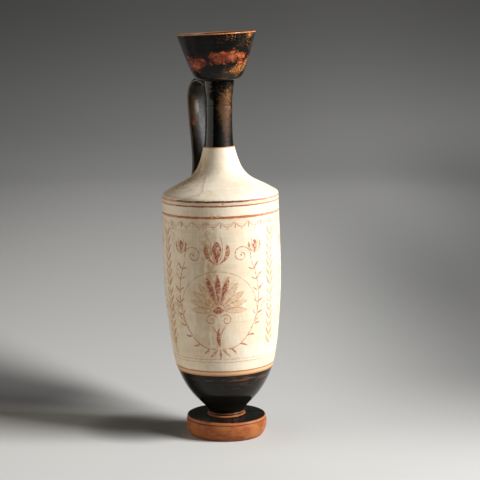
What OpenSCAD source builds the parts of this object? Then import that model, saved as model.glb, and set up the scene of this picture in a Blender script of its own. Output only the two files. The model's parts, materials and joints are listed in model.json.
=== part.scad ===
// Slender oil flask: disc foot, cylindrical body, sloping shoulder, narrow neck, deep calyx mouth
// and one strap handle at the back. It is hand made, so the body leans a little, the neck stands
// plumb on it and the mouth is tipped.
// The origin is the centre of the foot's resting plane. +Z is up and the handle stands toward +Y.
// The eight pieces are the members that a potter forms and lutes together.

/* [Foot] */
// Height of the foot
foot_h = 23.5; // [19:0.5:30]
// Outer radius of the ring that the flask rests on
foot_rest_r = 43; // [38:0.5:46]
// Widest radius of the foot
foot_max_r = 48.4; // [47:0.2:54]
// Radius of the foot's upper edge
foot_top_r = 47.3; // [44:0.1:47.5]
// Height at which the foot is widest
foot_max_z = 15.5; // [10:0.5:16]
// Rounding of the foot's two edges
foot_round = 1.2; // [0.4:0.1:1.6]
// Width of the resting ring
foot_ring_w = 9; // [6:0.5:14]
// Depth of the hollow under the foot
foot_hollow = 8.5; // [4:0.5:12]
// Depth of the groove turned round the foot's side
foot_groove_depth = 0.7; // [0.3:0.1:1.2]
// Width of that groove
foot_groove_w = 1.4; // [0.8:0.1:2]
// Distance of that groove below the foot's upper edge
foot_groove_drop = 3.4; // [2.6:0.1:4.5]

/* [Fillet ring] */
// Height of the ring between foot and body
fillet_h = 5; // [4:0.1:7]
// Radius of the ring's lower bead
fillet_low_r = 23; // [22:0.1:26]
// Radius of the ring's upper bead
fillet_high_r = 21.5; // [21.3:0.1:24]
// Depth of the groove between the two beads
fillet_groove = 1.1; // [0.5:0.1:2]
// Radius of the stem that the ring goes round
stem_r = 17; // [12:0.5:18]

/* [Body] */
// Radius of the body where it leaves the fillet ring
body_base_r = 21; // [19:0.1:21.2]
// Height of the tapering lower body
lower_h = 54.5; // [45:0.5:65]
// Radius of the body where the lower body ends
body_seam_r = 57; // [52:0.5:62]
// Widest radius of the body
body_max_r = 69.8; // [66:0.1:78]
// Height of the widest place above the end of the lower body
body_max_rise = 125; // [90:1:150]
// Height of the body wall from the lower body to the shoulder
wall_h = 202; // [180:1:240]
// Radius of the body wall under the shoulder
body_top_r = 69; // [64:0.1:72]
// Slope of the outline just above the fillet ring: radius gained per height
base_slope = 0.28; // [0.1:0.01:0.5]
// Height over which the lower body keeps that slope before it swells
base_pull = 10.5; // [5:0.5:12]
// Slope of the outline where the lower body ends: radius gained per height
seam_slope = 0.34; // [0.25:0.01:0.42]
// Height over which the lower body nears that slope
lower_pull = 38; // [28:1:42]
// Height over which the body wall keeps that slope
wall_pull = 28; // [15:1:35]
// Height over which the body wall nears the upright below its widest place
belly_pull = 20; // [10:1:40]
// Thickness of the body wall
body_wall_t = 4.5; // [3:0.1:6]
// Thickness of the floor inside the body
floor_t = 9; // [5:0.5:14]
// Radius of the flat middle of that floor
floor_r = 6; // [3:0.5:9]

/* [Shoulder] */
// Height of the shoulder, from the body wall to the neck
shoulder_h = 62.5; // [56:0.5:72]
// Height of the upright edge of the shoulder
shoulder_edge_h = 5.2; // [3:0.1:8]
// Height of the rounding above that edge
shoulder_round_h = 4.2; // [3:0.1:6]
// How far that rounding draws in
shoulder_round_w = 2.5; // [1:0.1:4]
// Radius of the shoulder's top, under the neck
shoulder_top_r = 18.3; // [17.8:0.1:21]
// How far inward the slope first runs
slope_run = 29; // [27:0.5:34]
// How far it rises over that run
slope_rise = 17.8; // [15:0.2:24]
// How far inward the sweep to the neck runs
sweep_run = 9.5; // [8:0.1:12]
// How far it rises over that run
sweep_rise = 41.5; // [38:0.5:48]
// Thickness of the shoulder
shoulder_t = 5; // [3.5:0.1:6.5]

/* [Neck] */
// Height of the neck
neck_h = 77.5; // [66:0.5:90]
// Radius of the neck's foot
neck_low_r = 17.7; // [16.5:0.1:17.8]
// Radius of the neck's waist
neck_waist_r = 15.8; // [13.5:0.1:16.5]
// Height of the waist above the neck's foot
neck_waist_rise = 40.5; // [34:0.5:46]
// Radius of the neck's top
neck_high_r = 18.4; // [16.5:0.1:18.5]
// Height over which the neck draws in above its foot
neck_low_pull = 6; // [4:0.5:10]
// Height over which the neck stays near its waist, below it and above it
neck_waist_pull = 23; // [16:0.5:26]
// Height over which the neck nears its widest at the top
neck_high_pull = 30; // [22:0.5:34]
// Radius of the bore through the neck
bore_r = 8.5; // [7:0.1:9.5]

/* [Mouth] */
// Height of the mouth
mouth_h = 55.5; // [46:0.5:64]
// Radius of the mouth's flat underside
mouth_seat_r = 18.8; // [18.6:0.1:20]
// Radius of the mouth where its rounded underside turns into the wall
mouth_turn_r = 29.4; // [27:0.1:33]
// Height of that turn above the neck
mouth_turn_rise = 6.8; // [5:0.1:9]
// Height over which the wall keeps its slope above that turn
mouth_pull = 10; // [6:0.5:14]
// Slope of the wall at the rim: radius gained per height
mouth_flare = 0.31; // [0.15:0.01:0.4]
// Radius of the rim
rim_r = 46.5; // [42:0.1:52]
// Width of the flat rim
rim_w = 5.6; // [4:0.1:7]
// Rounding of the rim's outer edge
rim_round = 0.9; // [0.4:0.1:1.5]
// Fall of the rim toward the inside
rim_fall = 0.8; // [0:0.1:1.5]
// Radius of the bowl's floor inside the mouth
bowl_floor_r = 24; // [20:0.5:26]
// Height of the bowl's floor at that radius
bowl_floor_rise = 11.5; // [9:0.5:14]
// Height of the bowl's throat above the mouth's underside
throat_rise = 3.5; // [2.5:0.1:5]
// How much wider the throat is than the bore below it
throat_gap = 1.2; // [0.8:0.1:2]

/* [Handle] */
// Width of the strap
strap_w = 25; // [20:0.5:30]
// Thickness of the strap
strap_t = 10.4; // [7:0.1:11]
// How much wider the strap is where it lands on the shoulder
strap_root_w = 4; // [0:0.5:8]
// How much thicker the strap is where it lands on the shoulder
strap_root_t = 1.6; // [0:0.1:3]
// Distance from the neck's axis to the strap at its highest straight place
strap_reach = 47.2; // [42:0.2:52]
// Distance of that place below the mouth
strap_bend_drop = 23; // [18:0.5:28]
// How far the strap keeps its direction at each end of its bends
strap_arch = 22.5; // [18:0.5:26]
// How far inside the shoulder's edge the strap stands where it is nearest to the neck
strap_inset = 33.6; // [27:0.1:35]
// Depth of that nearest place below the neck's foot
strap_waist_drop = 25.5; // [22:0.5:30]
// How far outward the strap spreads from there to the shoulder
strap_kick = 4; // [0:0.5:6]
// Distance of the strap's upper end below the mouth
strap_end_drop = 11; // [8:0.5:14]

/* [Lean] */
// Direction in which the body and the neck lean, in degrees from +X toward +Y
lean_toward = 145; // [0:5:355]
// Direction in which the mouth is tipped, in degrees from +X toward +Y
mouth_toward = 135; // [0:5:355]
// Lean of the body from the upright, in degrees
body_lean = 1.53; // [0:0.01:2]
// Lean of the neck from the upright, in degrees
neck_lean = 0; // [0:0.1:2]
// Tilt of the mouth from the upright, in degrees
mouth_tilt = 3; // [0:0.1:5]

/* [Hidden] */

$fn = 96;
// Steps along each curve of a profile
curve_steps = 12;
// Corners of the strap's section, and steps along each of its bends
strap_corners = 20;
strap_steps = 10;
// How square the strap's section is: 2 is an ellipse, more is squarer
strap_square = 2.3;
// How far a piece is made too long before it is cut off at its seat
spare = 3;
// Size of the block that cuts a piece off at its seat
cut_size = 400;

// Heights above the resting plane, along the axis
fillet_z = foot_h;
lower_z = fillet_z + fillet_h;
wall_z = lower_z + lower_h;
shoulder_z = wall_z + wall_h;
neck_z = shoulder_z + shoulder_h;

// Point at share t of the cubic curve through four control points
function cubic(p, t) =
    pow(1 - t, 3) * p[0] + 3 * pow(1 - t, 2) * t * p[1] + 3 * (1 - t) * t * t * p[2] + pow(t, 3) * p[3];

// Curve from a to b that leaves a along the vector out and arrives at b along the vector into
function curve(a, out, b, into, steps = curve_steps) =
    [for (i = [0 : steps]) cubic([a, a + out, b - into, b], i / steps)];

// The same curve without its first point, to follow another curve
function onward(a, out, b, into, steps = curve_steps) =
    [for (i = [1 : steps]) cubic([a, a + out, b - into, b], i / steps)];

function unit(v) = v / norm(v);

// Direction in which a list of points runs at point i
function heading(points, i) =
    unit(points[min(i + 1, len(points) - 1)] - points[max(i - 1, 0)]);

// Outline moved inward by the thickness, square to its own direction
function inset(points, thickness) =
    [for (i = [0 : len(points) - 1])
        points[i] + thickness * [-heading(points, i)[1], heading(points, i)[0]]];

function reversed(points) = [for (i = [len(points) - 1 : -1 : 0]) points[i]];

// Leans its children by an angle toward a direction
module leaned(angle, toward = lean_toward) {
    rotate(a = angle, v = [-sin(toward), cos(toward), 0])
        children();
}

// Places children that are drawn at their height on the body's axis
module body_frame() {
    translate([0, 0, foot_h])
        leaned(body_lean)
            translate([0, 0, -foot_h])
                children();
}

// Places children that are drawn with the neck's foot at zero
module neck_frame() {
    body_frame()
        translate([0, 0, neck_z])
            leaned(neck_lean - body_lean)
                children();
}

// Places children that are drawn with the mouth's underside at zero
module mouth_frame() {
    neck_frame()
        translate([0, 0, neck_h])
            leaned(-neck_lean)
                leaned(mouth_tilt, mouth_toward)
                    children();
}

// Block that fills everything below zero
module below() {
    translate([-cut_size / 2, -cut_size / 2, -cut_size])
        cube(cut_size);
}

// Block that fills everything above zero
module above() {
    translate([-cut_size / 2, -cut_size / 2, 0])
        cube(cut_size);
}

// Foot: a thick disc with a swelling side, a turned groove and a hollow underside
foot_crown_z = foot_h - foot_round;
foot_groove_z = foot_h - foot_groove_drop;
function foot_side_r(z) =
    foot_max_r + (foot_top_r - foot_max_r) * (z - foot_max_z) / (foot_crown_z - foot_max_z);
foot_bend = [foot_rest_r + foot_round, foot_round];
foot_bend_way = unit([4, 5]);
foot_side = concat(
    curve([foot_rest_r, 0], [foot_round, 0], foot_bend, 0.8 * foot_round * foot_bend_way, 4),
    onward(foot_bend, 3 * foot_round * foot_bend_way, [foot_max_r, foot_max_z], [0, foot_max_z / 3])
);
foot_groove = [
    [foot_side_r(foot_groove_z - foot_groove_w / 2), foot_groove_z - foot_groove_w / 2],
    [foot_side_r(foot_groove_z) - foot_groove_depth, foot_groove_z],
    [foot_side_r(foot_groove_z + foot_groove_w / 2), foot_groove_z + foot_groove_w / 2]
];
foot_crown = curve([foot_top_r, foot_crown_z], [0, foot_round / 2],
    [foot_top_r - foot_round, foot_h], [-foot_round / 2, 0], 4);
ring_in_r = foot_rest_r - foot_ring_w;
foot_under = curve([ring_in_r, 0], [0, foot_hollow / 2],
    [ring_in_r - 2 * foot_hollow, foot_hollow], [-foot_hollow, 0]);

module foot() {
    color("#9c5230")
        rotate_extrude()
            polygon(concat(foot_side, foot_groove, foot_crown, [[0, foot_h], [0, foot_hollow]],
                reversed(foot_under)));
}

// Fillet ring: two beads with a groove between them, round the body's stem
bead_h = fillet_h * 0.3;
low_bead_z = fillet_z + bead_h / 2;
high_bead_z = lower_z - bead_h / 2;
fillet_waist = [fillet_high_r - fillet_groove, (low_bead_z + high_bead_z) / 2];
fillet_outline = concat(
    [[fillet_low_r, fillet_z - spare]],
    curve([fillet_low_r, low_bead_z], [0, bead_h / 2], fillet_waist, [0, bead_h], 6),
    onward(fillet_waist, [0, bead_h / 2], [fillet_high_r, high_bead_z], [0, bead_h / 3], 6),
    onward([fillet_high_r, high_bead_z], [0, bead_h / 4], [body_base_r, lower_z], [-bead_h / 4, 0], 4)
);

module foot_fillet() {
    color("#a65a34")
        difference() {
            body_frame()
                rotate_extrude()
                    polygon(concat(fillet_outline, [[stem_r, lower_z], [stem_r, fillet_z - spare]]));
            translate([0, 0, foot_h])
                below();
        }
}

// Lower body: a stem that stands on the foot, and a bowl that swells up to the body wall
lower_outline = curve([body_base_r, lower_z], base_pull * [base_slope, 1],
    [body_seam_r, wall_z], lower_pull * [seam_slope, 1]);
inside_z = lower_z + floor_t;
lower_inside = concat(
    [[0, inside_z]],
    curve([floor_r, inside_z], [stem_r - body_wall_t, 0],
        [body_seam_r - body_wall_t, wall_z], (lower_pull - body_wall_t) * [seam_slope, 1])
);

module lower_body() {
    color("#231d1a")
        difference() {
            body_frame()
                rotate_extrude()
                    polygon(concat([[0, fillet_z - spare], [stem_r, fillet_z - spare], [stem_r, lower_z]],
                        lower_outline, reversed(lower_inside)));
            translate([0, 0, foot_h])
                below();
        }
}

// Body wall: swells to its widest place and then runs almost straight up to the shoulder
max_z = wall_z + body_max_rise;
wall_outline = concat(
    curve([body_seam_r, wall_z], wall_pull * [seam_slope, 1], [body_max_r, max_z], [0, belly_pull]),
    onward([body_max_r, max_z], [0, belly_pull], [body_top_r, shoulder_z], [0, belly_pull / 2], 6)
);
wall_inside = [for (p = wall_outline) [p[0] - body_wall_t, p[1]]];

module body_wall() {
    color("#e8dabb")
        body_frame()
            rotate_extrude()
                polygon(concat(wall_outline, reversed(wall_inside)));
}

// Shoulder: a short upright edge, a rounding and a slope that sweeps up to the neck
edge_z = shoulder_z + shoulder_edge_h;
slope_r = body_top_r - shoulder_round_w;
slope_z = edge_z + shoulder_round_h;
shoulder_slope = onward([slope_r, slope_z], [-slope_run, slope_rise],
    [shoulder_top_r, neck_z], [-sweep_run, sweep_rise], 2 * curve_steps);
shoulder_outline = concat(
    [[body_top_r, shoulder_z]],
    curve([body_top_r, edge_z], [0, shoulder_round_h / 2],
        [slope_r, slope_z], [-shoulder_round_w / 2, shoulder_round_w / 3], 6),
    shoulder_slope
);
slope_inside = inset(shoulder_slope, shoulder_t);
shoulder_inside = concat(
    [[body_top_r - body_wall_t, shoulder_z], [body_top_r - body_wall_t, edge_z]],
    [for (i = [1 : len(slope_inside) - 2]) slope_inside[i]],
    [[shoulder_top_r - shoulder_t, neck_z]]
);

module shoulder() {
    color("#e8dabb")
        body_frame()
            rotate_extrude()
                polygon(concat(shoulder_outline, reversed(shoulder_inside)));
}

// The shoulder with no hollow, which trims what stands on it
module shoulder_form() {
    body_frame()
        rotate_extrude()
            polygon(concat([[0, shoulder_z]], shoulder_outline, [[0, neck_z]]));
}

// Neck: waisted, with a straight bore, cut off below by the shoulder and above by the mouth
neck_waist = [neck_waist_r, neck_waist_rise];
neck_outline = concat(
    [[neck_low_r, -spare]],
    curve([neck_low_r, 0], neck_low_pull * [-0.2, 1], neck_waist, [0, neck_waist_pull]),
    onward(neck_waist, [0, neck_waist_pull], [neck_high_r, neck_h], neck_high_pull * [0.1, 1]),
    [[neck_high_r, neck_h + spare]]
);

module neck_form() {
    difference() {
        neck_frame()
            rotate_extrude()
                polygon(concat([[0, -spare]], neck_outline, [[0, neck_h + spare]]));
        body_frame()
            translate([0, 0, neck_z])
                below();
        mouth_frame()
            above();
    }
}

module neck() {
    color("#231d1a")
        difference() {
            neck_form();
            neck_frame()
                translate([0, 0, -spare])
                    cylinder(r = bore_r, h = neck_h + 2 * spare);
        }
}

// Mouth: a calyx with a rounded underside, a flaring wall, a flat rim and a deep bowl
throat_r = bore_r + throat_gap;
mouth_turn = [mouth_turn_r, mouth_turn_rise];
rim_edge = [rim_r, mouth_h - rim_round];
bowl_floor = [bowl_floor_r, bowl_floor_rise];
mouth_outline = concat(
    curve([mouth_seat_r, 0], [mouth_turn_rise * 0.75, 0], mouth_turn, mouth_turn_rise * [0.35, 0.68], 8),
    onward(mouth_turn, mouth_pull * [0.5, 1], rim_edge, 1.5 * mouth_pull * [mouth_flare, 1]),
    onward(rim_edge, [0, rim_round / 2], [rim_r - rim_round, mouth_h], [-rim_round / 2, 0], 4)
);
mouth_inside = concat(
    curve([rim_r - rim_w, mouth_h - rim_fall], -1.5 * mouth_pull * [mouth_flare, 1],
        bowl_floor, -bowl_floor_rise * [0.6, 0.5]),
    onward(bowl_floor, -bowl_floor_rise * [0.5, 0.42], [throat_r, throat_rise], [0, -throat_rise / 2], 6),
    [[throat_r, 0]]
);

module mouth() {
    color("#2a1c16")
        mouth_frame()
            rotate_extrude()
                polygon(concat(mouth_outline, mouth_inside));
}

// The mouth with no hollow, which trims the handle under it
module mouth_form() {
    mouth_frame()
        rotate_extrude()
            polygon(concat([[0, 0]], mouth_outline, [[0, mouth_h]]));
}

// Handle: a strap that leaves the neck under the mouth, bends over and lands on the shoulder.
// Its middle line is drawn as distance from the neck's axis and height above the neck's foot.
strap_bend = [strap_reach, neck_h - strap_bend_drop];
strap_near = [body_top_r - strap_inset, -strap_waist_drop];
strap_end = strap_near + [strap_kick, -2 * strap_t];
strap_line = concat(
    curve([bore_r - 1, neck_h - strap_end_drop], strap_arch * [0.7, 0.8],
        strap_bend, [0, -strap_arch], strap_steps),
    onward(strap_bend, [0, -strap_arch], strap_near, [0, -strap_arch], strap_steps),
    onward(strap_near, [0, -strap_t / 2], strap_end, [strap_kick * 0.75, -strap_t / 2], 4)
);

// How far along the strap the widening toward the shoulder has come, from 0 to 1
function strap_spread(i) = pow(i / (len(strap_line) - 1), 6);

function strap_point(i, angle) =
    let (along = heading(strap_line, i),
         side = strap_w / 2 + strap_root_w / 2 * strap_spread(i),
         deep = strap_t / 2 + strap_root_t / 2 * strap_spread(i),
         across = side * sign(cos(angle)) * pow(abs(cos(angle)), 2 / strap_square),
         outward = deep * sign(sin(angle)) * pow(abs(sin(angle)), 2 / strap_square))
    [across, strap_line[i][0] - outward * along[1], strap_line[i][1] + outward * along[0]];

strap_rings = len(strap_line);
strap_points = [for (i = [0 : strap_rings - 1]) for (j = [0 : strap_corners - 1])
    strap_point(i, 360 * (j + 0.5) / strap_corners)];
strap_faces = concat(
    [[for (j = [0 : strap_corners - 1]) j]],
    [[for (j = [strap_corners - 1 : -1 : 0]) (strap_rings - 1) * strap_corners + j]],
    [for (i = [0 : strap_rings - 2]) for (j = [0 : strap_corners - 1])
        let (k = (j + 1) % strap_corners)
        [i * strap_corners + j, (i + 1) * strap_corners + j, i * strap_corners + k]],
    [for (i = [0 : strap_rings - 2]) for (j = [0 : strap_corners - 1])
        let (k = (j + 1) % strap_corners)
        [i * strap_corners + k, (i + 1) * strap_corners + j, (i + 1) * strap_corners + k]]
);

module handle() {
    color("#2b221d")
        difference() {
            neck_frame()
                polyhedron(points = strap_points, faces = strap_faces);
            neck_form();
            shoulder_form();
            mouth_form();
        }
}

foot();
foot_fillet();
lower_body();
body_wall();
shoulder();
neck();
mouth();
handle();
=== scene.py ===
import json
import math
from collections import namedtuple

import bpy
import numpy as np
from mathutils import Matrix, Vector

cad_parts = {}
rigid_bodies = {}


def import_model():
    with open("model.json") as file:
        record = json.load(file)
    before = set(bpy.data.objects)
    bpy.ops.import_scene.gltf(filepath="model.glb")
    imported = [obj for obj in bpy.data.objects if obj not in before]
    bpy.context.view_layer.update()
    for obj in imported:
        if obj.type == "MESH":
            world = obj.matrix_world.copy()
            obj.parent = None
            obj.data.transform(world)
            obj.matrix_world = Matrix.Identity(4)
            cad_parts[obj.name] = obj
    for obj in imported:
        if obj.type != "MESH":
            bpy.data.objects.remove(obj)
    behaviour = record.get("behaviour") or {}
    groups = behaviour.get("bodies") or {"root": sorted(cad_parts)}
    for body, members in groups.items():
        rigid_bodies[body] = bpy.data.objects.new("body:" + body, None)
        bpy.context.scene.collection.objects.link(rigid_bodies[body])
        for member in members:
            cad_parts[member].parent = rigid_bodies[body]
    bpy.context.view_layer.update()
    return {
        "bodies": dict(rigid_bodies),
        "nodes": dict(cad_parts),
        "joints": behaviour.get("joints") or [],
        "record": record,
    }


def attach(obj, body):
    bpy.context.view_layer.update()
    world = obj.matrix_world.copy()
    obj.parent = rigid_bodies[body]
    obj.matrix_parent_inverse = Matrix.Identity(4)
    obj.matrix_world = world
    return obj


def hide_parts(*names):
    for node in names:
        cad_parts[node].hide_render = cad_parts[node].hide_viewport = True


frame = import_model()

# Sizes in mm, the same as the part's own. A pair is (radius, height).
MM = 0.001
FOOT_H = 23.5
FOOT_HOLLOW = 8.5
REST_IN_R, REST_OUT_R = 34, 43
FOOT_BEND = (44.2, 1.2)
FOOT_BELLY = (48.4, 15.5)
FOOT_EDGE = (47.3, 22.3)
FOOT_CROWN = (46.1, FOOT_H)
FOOT_GROOVE_Z = 20.1
STEM_R = 17
LOWER_R, LOWER_Z = 21, 28.5
SEAM_R, WALL_Z = 57, 83
BELLY = (69.8, 208)
WALL_T = 4.5
SHOULDER_R, SHOULDER_Z = 69, 285
EDGE_Z = 290.2
SLOPE_START = (66.5, 294.4)
SHOULDER_T = 5
SHOULDER_TOP_R, NECK_Z = 18.3, 347.5
NECK_H = 77.5
NECK_LOW_R, NECK_HIGH_R = 17.7, 18.4
NECK_WAIST = (15.8, 40.5)
BORE_R = 8.5
MOUTH_SEAT_R = 18.8
MOUTH_TURN = (29.4, 6.8)
RIM_OUT, RIM_TOP, RIM_IN = (46.5, 54.6), (45.6, 55.5), (40.9, 54.7)
BOWL = (24, 11.5)
THROAT_R, THROAT_Z = 9.7, 3.5

# How far the body leans and the mouth is tipped, in degrees, and which way
BODY_LEAN, LEAN_TOWARD = 1.53, math.radians(145)
MOUTH_TILT, MOUTH_TOWARD = 3.0, math.radians(135)

# The angle round the vessel that faces the camera
FRONT = math.radians(-125)


# Frames: the body leans, the neck stands plumb on it, the mouth is tipped
def leaned(degrees, toward=LEAN_TOWARD):
    axis = Vector((-math.sin(toward), math.cos(toward), 0))
    return Matrix.Rotation(math.radians(degrees), 4, axis)


def raised(height):
    return Matrix.Translation((0, 0, height * MM))


FOOT_FRAME = Matrix.Identity(4)
BODY_FRAME = raised(FOOT_H) @ leaned(BODY_LEAN) @ raised(-FOOT_H)
NECK_FRAME = BODY_FRAME @ raised(NECK_Z) @ leaned(-BODY_LEAN)
MOUTH_FRAME = NECK_FRAME @ raised(NECK_H) @ leaned(MOUTH_TILT, MOUTH_TOWARD)

# Camera: a long lens, a little above the level, to the left of the part's own front
CAMERA_PLACE = (-1.0983, -1.5969, 0.541)
CAMERA_ABOVE_LEVEL = 8.96
CAMERA_LEFT_OF_FRONT = 35
CAMERA_LENS, CAMERA_SENSOR = 123.75, 36.0


def make_camera():
    data = bpy.data.cameras.new("camera")
    data.lens = CAMERA_LENS
    data.sensor_width = CAMERA_SENSOR
    camera = bpy.data.objects.new("camera", data)
    camera.location = CAMERA_PLACE
    camera.rotation_euler = (math.radians(90 - CAMERA_ABOVE_LEVEL), 0,
                             math.radians(-CAMERA_LEFT_OF_FRONT))
    bpy.context.collection.objects.link(camera)
    bpy.context.scene.camera = camera


# Outlines as (radius, height) in mm
def curve(a, out, b, into, steps=24):
    """A curve from a to b that leaves along out and arrives along into."""
    a, out, b, into = (np.array(v, float) for v in (a, out, b, into))
    t = np.linspace(0, 1, steps + 1)[:, None]
    return ((1 - t) ** 3 * a + 3 * (1 - t) ** 2 * t * (a + out)
            + 3 * (1 - t) * t * t * (b - into) + t ** 3 * b)


def line(*points):
    return np.array(points, float)


def spaced(points, gap):
    """The same line with points every gap mm."""
    steps = np.linalg.norm(np.diff(points, axis=0), axis=1)
    along = np.concatenate([[0], np.cumsum(steps)])
    count = max(1, int(round(along[-1] / gap)))
    at = np.linspace(0, along[-1], count + 1)
    return np.stack([np.interp(at, along, points[:, k]) for k in (0, 1)], 1)


def straight(gap, *points):
    return spaced(line(*points), gap)


def bowed(gap, a, out, b, into):
    return spaced(curve(a, out, b, into), gap)


def joined(*parts):
    """Lines end to end, without the points where they meet twice."""
    points = [parts[0]]
    for part in parts[1:]:
        start = 1 if np.allclose(part[0], points[-1][-1], atol=1e-6) else 0
        points.append(part[start:])
    return np.concatenate(points)


def unit(vectors):
    return vectors / (np.linalg.norm(vectors, axis=1)[:, None] + 1e-9)


LOWER_OUT = curve((LOWER_R, LOWER_Z), (2.94, 10.5), (SEAM_R, WALL_Z), (12.92, 38), 60)
WALL_OUT = np.vstack([
    curve((SEAM_R, WALL_Z), (9.52, 28), BELLY, (0, 20), 60),
    curve(BELLY, (0, 20), (SHOULDER_R, SHOULDER_Z), (0, 10), 40)[1:]])
SHOULDER_SLOPE = curve(SLOPE_START, (-29, 17.8), (SHOULDER_TOP_R, NECK_Z), (-9.5, 41.5), 90)
SHOULDER_OUT = np.vstack([
    line((SHOULDER_R, SHOULDER_Z), (SHOULDER_R, EDGE_Z)),
    curve((SHOULDER_R, EDGE_Z), (0, 2.1), SLOPE_START, (-1.25, 0.833), 8)[1:],
    SHOULDER_SLOPE[1:]])
NECK_OUT = np.vstack([
    curve((NECK_LOW_R, 0), (-1.2, 6), NECK_WAIST, (0, 23), 40),
    curve(NECK_WAIST, (0, 23), (NECK_HIGH_R, NECK_H), (3, 30), 40)[1:]])
MOUTH_OUT = np.vstack([
    curve((MOUTH_SEAT_R, 0), (5.1, 0), MOUTH_TURN, (2.38, 4.62), 20),
    curve(MOUTH_TURN, (5, 10), RIM_OUT, (4.65, 15), 50)[1:]])


def radius_at(outline, height):
    order = np.argsort(outline[:, 1], kind="stable")
    return np.interp(height, outline[order, 1], outline[order, 0])


# Places on a turned surface: angle from the front in radians, radius and height in mm
Place = namedtuple("Place", "angle radius height")


def rough(angle, height, around, tall, seed):
    """Smooth noise from -1 to 1: so many cells around, each so many mm tall."""
    rows = 97
    grid = np.random.default_rng(seed).uniform(-1, 1, (rows, around))
    u, v = np.broadcast_arrays(angle / (2 * np.pi) * around, height / tall)
    i, j = np.floor(v).astype(int), np.floor(u).astype(int)
    fv, fu = v - i, u - j
    fv, fu = fv * fv * (3 - 2 * fv), fu * fu * (3 - 2 * fu)

    def across(row):
        return grid[row % rows, j % around] * (1 - fu) + grid[row % rows, (j + 1) % around] * fu
    return across(i) * (1 - fv) + across(i + 1) * fv


def waves(at, *layers):
    """Sum of rough layers, each (depth, cells around, cell height, seed)."""
    return sum(depth * rough(at.angle, at.height, *cells) for depth, *cells in layers)


def turn_from(angle, degrees):
    """Angle from a place given in degrees right of the front, from -pi to pi."""
    return (angle - math.radians(degrees) + np.pi) % (2 * np.pi) - np.pi


def patches(at, spots):
    """Sum of soft spots (degrees right of the front, height, half width, half height, strength)."""
    total = 0
    for degrees, height, wide, tall, strength in spots:
        away = (turn_from(at.angle, degrees) * at.radius / wide) ** 2
        total = total + strength * np.exp(-away - ((at.height - height) / tall) ** 2)
    return total


def from_path(at, path):
    """Distance in mm to a line through places (degrees right of the front, height)."""
    far_off = 99.0
    best = np.full(np.broadcast(at.angle, at.height).shape, far_off)
    for (d0, h0), (d1, h1) in zip(path, path[1:]):
        px, py = turn_from(at.angle, d0) * at.radius, at.height - h0
        sx, sy = np.radians(d1 - d0) * at.radius, h1 - h0
        share = np.clip((px * sx + py * sy) / (sx * sx + sy * sy + 1e-9), 0, 1)
        best = np.minimum(best, np.hypot(px - share * sx, py - share * sy))
    return best


def ditch(distance, width):
    """1 at no distance, falling softly to 0 beyond the width."""
    return np.exp(-(distance / width) ** 2)


CRACKS = [
    [(-27.6, 314.5), (-26.0, 309.5), (-22.5, 304), (-19.2, 299.8), (-21.0, 297.6)],
    [(-21.0, 297.6), (-24.3, 296.9), (-30.3, 295.4), (-35.4, 292.6), (-40.4, 288.4)]]
CHIPS = [
    (2.3, 288.0, 1.5, 1.7, 1), (-7.4, 272.8, 1.5, 1.6, 1), (-1.6, 273.6, 2.6, 0.9, 1),
    (-56.3, 130.5, 0.8, 2.4, 1), (-60.3, 121.8, 0.8, 4.2, 1), (-62.4, 107.2, 1.2, 1.8, 1),
    (96, 289, 2.4, 1.2, 1), (171, 286, 1.8, 2.2, 1), (-131, 272, 2.4, 1.4, 1),
    (128, 90, 3, 1.6, 1), (-118, 214, 1.4, 1.8, 1)]
BLISTER_DEGREES, BLISTER_Z, BLISTER_R = -26.8, 99.1, 2.1
# Stains, and painted shade: the broad spots between about -80 and -8 degrees darken the side turned
# from the key light.
STAINS_AND_SHADE = [
    (-67, 327, 9, 15, 0.9), (-44, 303, 13, 8, 0.35), (-37, 310, 8, 8, 0.2),
    (-47, 165, 7, 30, 0.75), (-51, 232, 7, 26, 0.45), (-12, 205, 10, 40, 0.35),
    (5, 285, 26, 5, 0.3), (-12, 300, 7, 4, 0.4), (-62, 118, 4, 20, 0.8), (-80, 250, 14, 30, 0.5),
    (38, 120, 20, 12, 0.3), (120, 190, 22, 40, 0.4), (-150, 240, 20, 40, 0.45),
    (170, 150, 16, 36, 0.4), (-120, 110, 24, 14, 0.5), (80, 300, 12, 7, 0.4),
    (150, 310, 14, 10, 0.5), (-170, 330, 9, 14, 0.5), (-12, 240, 14, 36, 0.72),
    (-10, 165, 15, 44, 0.66), (-8, 115, 18, 18, 0.40), (-75, 310, 14, 16, 1.0),
    (-40, 262, 12, 18, 0.30), (-30, 325, 7, 20, 0.3), (-60, 300, 14, 8, 0.35)]
WASHES = [
    (5, 196, 11, 9, 1.0), (-8, 172, 16, 8, 0.7), (14, 176, 10, 7, 0.6),
    (-46, 205, 8, 14, 0.6), (92, 200, 14, 10, 0.8), (60, 150, 10, 12, 0.5)]
REDDER = [(-55, 257, 7, 10, 0.9), (-52, 240, 5, 8, 0.5), (-47, 215, 6, 12, 0.5),
          (-50, 185, 5, 20, 0.35)]
# Painted shade: warm spots that darken the body's core shadow and the shoulder's left, on the side
# turned from the key light, and one at the back.
PAINTED_WARM_SHADE = [(-14, 175, 30, 105, 1.0), (-60, 320, 26, 24, 0.8), (170, 180, 60, 70, 0.8)]
FADED_DEGREES, FADED_SOFT = 45, 22


def body_relief(at):
    """Turning marks, slight ovality and small damage of the body and shoulder, in mm."""
    marks = waves(at, (0.05, 3, 2.6, 1), (0.07, 2, 7.0, 2), (0.16, 5, 45.0, 3), (0.05, 23, 9.0, 4),
                  (0.02, 211, 1.9, 5))
    ring = np.hypot(turn_from(at.angle, BLISTER_DEGREES) * at.radius, at.height - BLISTER_Z)
    marks = marks - 0.35 * patches(at, CHIPS) + 0.35 * ditch(ring - BLISTER_R, 0.8)
    for path in CRACKS:
        away = from_path(at, path)
        marks = marks + 0.20 * ditch(away, 1.3) - 0.12 * ditch(away, 0.4)
    return marks


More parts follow.
